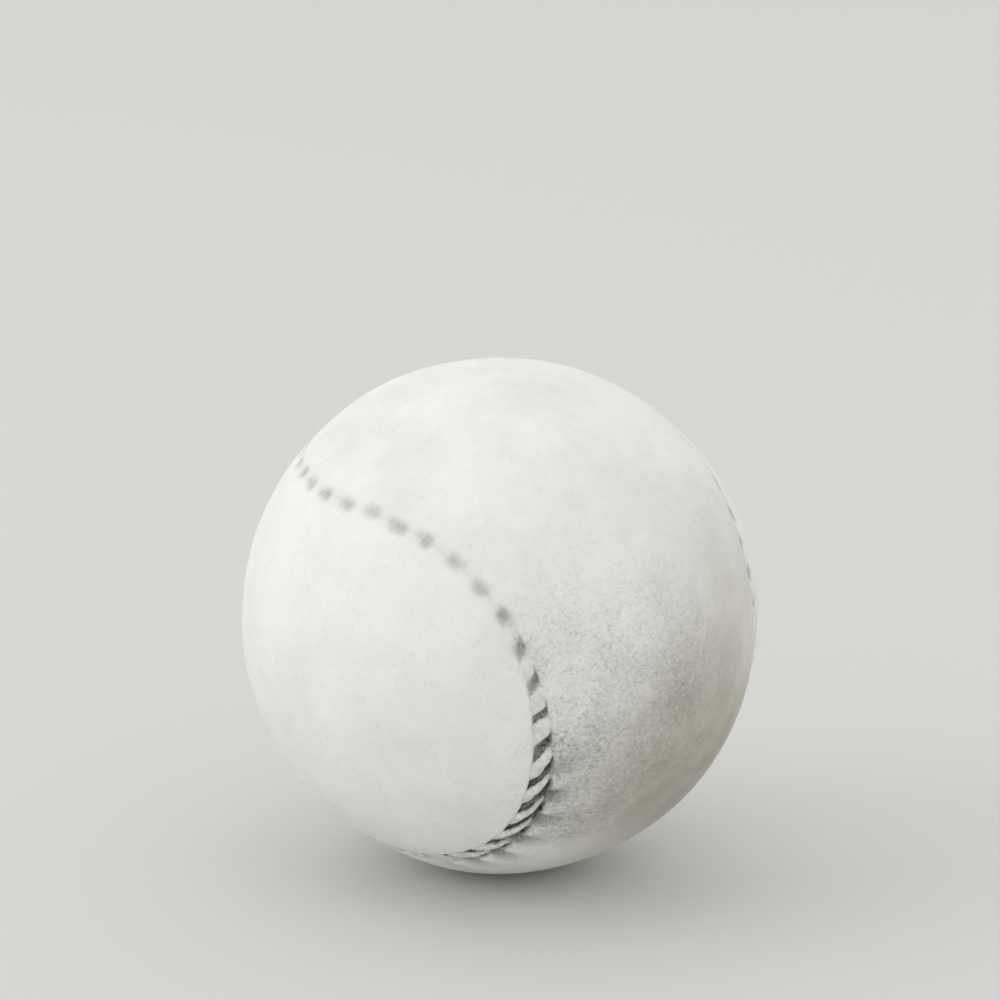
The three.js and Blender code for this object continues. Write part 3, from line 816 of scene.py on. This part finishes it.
def spline(knots, steps):
    """Points of a smooth curve through the knots."""
    before = np.vstack([knots[:1], knots[:-1]])
    after = np.vstack([knots[1:], knots[-1:]])
    after_next = np.vstack([knots[2:], knots[-1:], knots[-1:]])
    share = (np.arange(steps) / steps)[None, :, None]
    a, b, c, d = (part[:-1, None, :] for part in (before, knots, after, after_next))
    curve = 0.5 * (2 * b + (c - a) * share + (2 * a - 5 * b + 4 * c - d) * share ** 2
                   + (3 * b - a - 3 * c + d) * share ** 3)
    return np.vstack([curve.reshape(-1, knots.shape[1]), knots[-1:]])


# Each row of a stitch strays a little aside and in width, but never far from what its neighbours do
strays = stitch_luck.uniform(-1, 1, (STITCHES, len(STITCH_COURSE) + 2, 2))
wobble = (strays[:, :-2] + strays[:, 1:-1] + strays[:, 2:]) / math.sqrt(3)
course = []
for stitch in range(STITCHES):
    start = STITCH_START + stitch * stitch_pitch + luck_along[stitch]
    lean = luck_lean[stitch] + added_lean(np.array(start + STITCH_SLANT / 2))
    for row, (across, depth, half_width) in enumerate(STITCH_COURSE):
        stray, swelling = wobble[stitch, row]
        along = start + stitch_lean(across * MM) - lean * across * MM + THREAD_WOBBLE * stray
        half_width *= luck_width[stitch] * (1 + THREAD_WIDTH_WOBBLE * swelling)
        course.append((along, across * MM, depth * MM, half_width * MM))
    if stitch < STITCHES - 1:
        course.append((start + (STITCH_SLANT + stitch_pitch) / 2, 0, UNDER_DEPTH, UNDER_HALF_WIDTH))
along, across, depth, half_width = spline(np.array(course), THREAD_STEPS).T
openness = seam_openness(along)
folded = seam_folded(along)
pinch = FOLDED_THREAD_PINCH * folded * smooth_share(across, PINCH_START, PINCH_FULL)
half_width *= 1 + RUBBED_THREAD_SPREAD * (1 - openness) - pinch
depth += openness * SEAM_SINK + (1 - openness) * RUBBED_THREAD_SINK
depth += FOLDED_TIP_SINK * folded * smooth_share(across, TIP_SINK_START, TIP_SINK_FULL)
up = beside_seam(along, across)
thread_line = up * (BALL_RADIUS - depth)[:, None]
heading = np.gradient(thread_line, axis=0)
heading /= np.linalg.norm(heading, axis=1)[:, None]
slant = beside_seam(along + STITCH_SLANT / 2, across - HOLE_INSET)
slant -= beside_seam(along - STITCH_SLANT / 2, across + HOLE_INSET)
flatwise = np.cross(slant, up)
flatwise -= heading * np.sum(flatwise * heading, axis=1)[:, None]
flatwise /= np.linalg.norm(flatwise, axis=1)[:, None]
edgewise = np.cross(heading, flatwise)
thread_travel = np.concatenate([[0], np.cumsum(np.linalg.norm(np.diff(thread_line, axis=0), axis=1))])
side_angles = 2 * math.pi * np.arange(THREAD_SIDES) / THREAD_SIDES
twist = 2 * math.pi * thread_travel / PLY_TWIST
ply = 1 + PLY_DEPTH * np.cos(PLIES * (side_angles[None, :] - twist[:, None]))
wide = half_width[:, None] * np.cos(side_angles) * ply
high = THREAD_HALF_HEIGHT * np.sin(side_angles) * ply
thread_points = (thread_line[:, None, :] + flatwise[:, None, :] * wide[..., None]
                 + edgewise[:, None, :] * high[..., None]).reshape(-1, 3)
thread_faces = []
for ring in range(len(thread_line) - 1):
    for side in range(THREAD_SIDES):
        here, there = ring * THREAD_SIDES + side, ring * THREAD_SIDES + (side + 1) % THREAD_SIDES
        thread_faces.append((here, there, there + THREAD_SIDES, here + THREAD_SIDES))
thread_faces.append(tuple(range(THREAD_SIDES))[::-1])
thread_faces.append(tuple(range(len(thread_points) - THREAD_SIDES, len(thread_points))))
thread_heights = np.linalg.norm(thread_points, axis=1)
crest_heights = np.linalg.norm(thread_line, axis=1) + THREAD_HALF_HEIGHT
below_crest = np.repeat(crest_heights, THREAD_SIDES) - thread_heights
# Grime and painted shade on the flanks, darker the further below the crest
thread_grime_and_shade = smooth_share(below_crest, FLANK_GRIME_AND_SHADE_START, FLANK_GRIME_AND_SHADE_FULL)
thread_grime_and_shade *= np.repeat(openness, THREAD_SIDES)
thread_places = seam_place(thread_points / thread_heights[:, None])
thread_grime_and_shade = np.maximum(thread_grime_and_shade, STAIN_SHARE * rubbed_spot(*thread_places))

# Waxed thread: white cotton pulled through wax, satin rather than matt, lumpy and blotched by handling,
# whiter where it is rubbed. Where it dips into the seam, its flanks darken with grime and painted shade,
# kept in its hollows and worn off its lumps. Single fibres are too fine to show, so they are drawn
# coarser.
THREAD_FIBRE = 0.16 * MM
THREAD_FIBRE_DEPTH = 0.04 * MM
THREAD_BLOTCH = 0.7 * MM
THREAD_LUMP = 0.1 * MM
LUMP_CLEANNESS = 0.7
HOLLOW_GRIME_AND_SHADE_FULL = 0.7
THREAD_GRIME_AND_SHADE_SHARE = 0.8
THREAD_HOLLOW = "#C6C5BF"
THREAD_WHITE = "#E8E8E4"
RUBBED_WHITE = "#EAEAE7"
waxed, tree, shader, place = new_material("white_waxed_thread")
sunk = add_node(tree, "ShaderNodeAttribute", attribute_name="grime_and_shade").outputs["Fac"]
rubbed = add_node(tree, "ShaderNodeAttribute", attribute_name="rubbed").outputs["Fac"]
fibre = add_node(tree, "ShaderNodeTexNoise", {"Vector": place, "Scale": 1 / THREAD_FIBRE, "Detail": 3.0})
blotch = add_node(tree, "ShaderNodeTexNoise",
                  {"Vector": place, "Scale": 1 / THREAD_BLOTCH, "Detail": 4.0, "Roughness": 0.7})
blotch_share = add_node(tree, "ShaderNodeMapRange", {"Value": blotch.outputs["Fac"], **NOISE_SPAN})
white = add_node(tree, "ShaderNodeMix",
                 {"Factor": blotch_share.outputs["Result"], FIRST_COLOUR: linear(THREAD_HOLLOW),
                  SECOND_COLOUR: linear(THREAD_WHITE)}, data_type="RGBA")
whitened = add_node(tree, "ShaderNodeMix",
                    {"Factor": rubbed, FIRST_COLOUR: white.outputs[MIXED_COLOUR],
                     SECOND_COLOUR: linear(RUBBED_WHITE)}, data_type="RGBA")
kept_grime_and_shade = add_node(tree, "ShaderNodeMath",
                      {0: blotch_share.outputs["Result"], 1: -LUMP_CLEANNESS, 2: sunk},
                      operation="MULTIPLY_ADD")
flank_grime_and_shade = add_node(tree, "ShaderNodeMapRange",
                       {"Value": kept_grime_and_shade.outputs["Value"], "From Max": HOLLOW_GRIME_AND_SHADE_FULL,
                        "To Max": THREAD_GRIME_AND_SHADE_SHARE})
greyed = add_node(tree, "ShaderNodeMix",
                  {"Factor": flank_grime_and_shade.outputs["Result"], FIRST_COLOUR: whitened.outputs[MIXED_COLOUR],
                   SECOND_COLOUR: linear(GRIME_AND_SHADE_COLOUR)}, data_type="RGBA")
fuzz = add_node(tree, "ShaderNodeBump",
                {"Height": fibre.outputs["Fac"], "Strength": 0.5, "Distance": THREAD_FIBRE_DEPTH})
lumps = add_node(tree, "ShaderNodeBump",
                 {"Height": blotch.outputs["Fac"], "Strength": 0.5, "Distance": THREAD_LUMP,
                  "Normal": fuzz.outputs["Normal"]})
tree.links.new(greyed.outputs[MIXED_COLOUR], shader.inputs["Base Color"])
tree.links.new(lumps.outputs["Normal"], shader.inputs["Normal"])
shader.inputs["Roughness"].default_value = 0.55
shader.inputs["IOR"].default_value = 1.45
add_piece("whip_stitches", thread_points @ LIE.T, thread_faces, waxed, "seam_thread",
          {"grime_and_shade": thread_grime_and_shade, "rubbed": np.repeat(1 - openness, THREAD_SIDES)})

# The floor: a plain pale board, sanded and painted matt, that the ball rests on. It is large enough to
# fill the view from any side, and has nothing on it but the ball's own soft shadow.
FLOOR_HALF = 4.0
FLOOR_GREY = "#D1D1CE"
floor_corners = [(-FLOOR_HALF, -FLOOR_HALF), (FLOOR_HALF, -FLOOR_HALF), (FLOOR_HALF, FLOOR_HALF),
                 (-FLOOR_HALF, FLOOR_HALF)]
floor_mesh = bpy.data.meshes.new("floor")
floor_mesh.from_pydata([(x, y, -BALL_RADIUS) for x, y in floor_corners], [], [(0, 1, 2, 3)])
# Matt emulsion paint, rolled on: one even pale grey with no shine
floor_paint, tree, shader, place = new_material("pale_matt_paint")
shader.inputs["Base Color"].default_value = linear(FLOOR_GREY)
shader.inputs["Roughness"].default_value = 0.9
floor_mesh.materials.append(floor_paint)
floor = bpy.data.objects.new("floor", floor_mesh)
bpy.context.scene.collection.objects.link(floor)

# The light: a large soft studio lamp to the left and a little above, and an even white fill from all
# round. The fill does most of the work, so the ball keeps its own tones and only turns darker away from
# the lamp.
KEY_FROM = Vector((-0.88, -0.15, 0.42)).normalized()
KEY_DISTANCE = 1.6
KEY_SIZE = 1.2
KEY_WATTS = 4.8
FILL_STRENGTH = 0.975
FILL_WHITE = "#FFFFFF"
key_light = bpy.data.lights.new("key", "AREA")
key_light.shape = "DISK"
key_light.size = KEY_SIZE
key_light.energy = KEY_WATTS
key = bpy.data.objects.new("key", key_light)
key.location = KEY_FROM * KEY_DISTANCE
key.rotation_euler = KEY_FROM.to_track_quat("Z", "Y").to_euler()
bpy.context.scene.collection.objects.link(key)
world = bpy.data.worlds.new("studio")
world.use_nodes = True
background = world.node_tree.nodes["Background"]
background.inputs["Color"].default_value = linear(FILL_WHITE)
background.inputs["Strength"].default_value = FILL_STRENGTH
bpy.context.scene.world = world
bpy.context.scene.view_settings.view_transform = "Standard"

# The camera: a long lens twelve ball radii away and a little above the ball. Its lens gives the ball's
# outline the photograph's radius in pixels, and its shift sets the ball as low in the frame.
CAMERA_ELEVATION = math.radians(15)
CAMERA_DISTANCE = 12 * BALL_RADIUS
CAMERA_CLIP_START = 0.01
IMAGE_SIZE = 1000
BALL_RADIUS_PIXELS = 258.1
BALL_CENTRE_PIXEL = 615.4
camera_data = bpy.data.cameras.new("camera")
edge_slope = 1 / math.sqrt((CAMERA_DISTANCE / BALL_RADIUS) ** 2 - 1)
camera_data.lens = camera_data.sensor_width * BALL_RADIUS_PIXELS / IMAGE_SIZE / edge_slope
camera_data.shift_y = (BALL_CENTRE_PIXEL - IMAGE_SIZE / 2) / IMAGE_SIZE
camera_data.clip_start = CAMERA_CLIP_START
camera = bpy.data.objects.new("camera", camera_data)
camera_from = Vector((0, -math.cos(CAMERA_ELEVATION), math.sin(CAMERA_ELEVATION)))
camera.location = camera_from * CAMERA_DISTANCE
camera.rotation_euler = camera_from.to_track_quat("Z", "Y").to_euler()
bpy.context.scene.collection.objects.link(camera)
bpy.context.scene.camera = camera
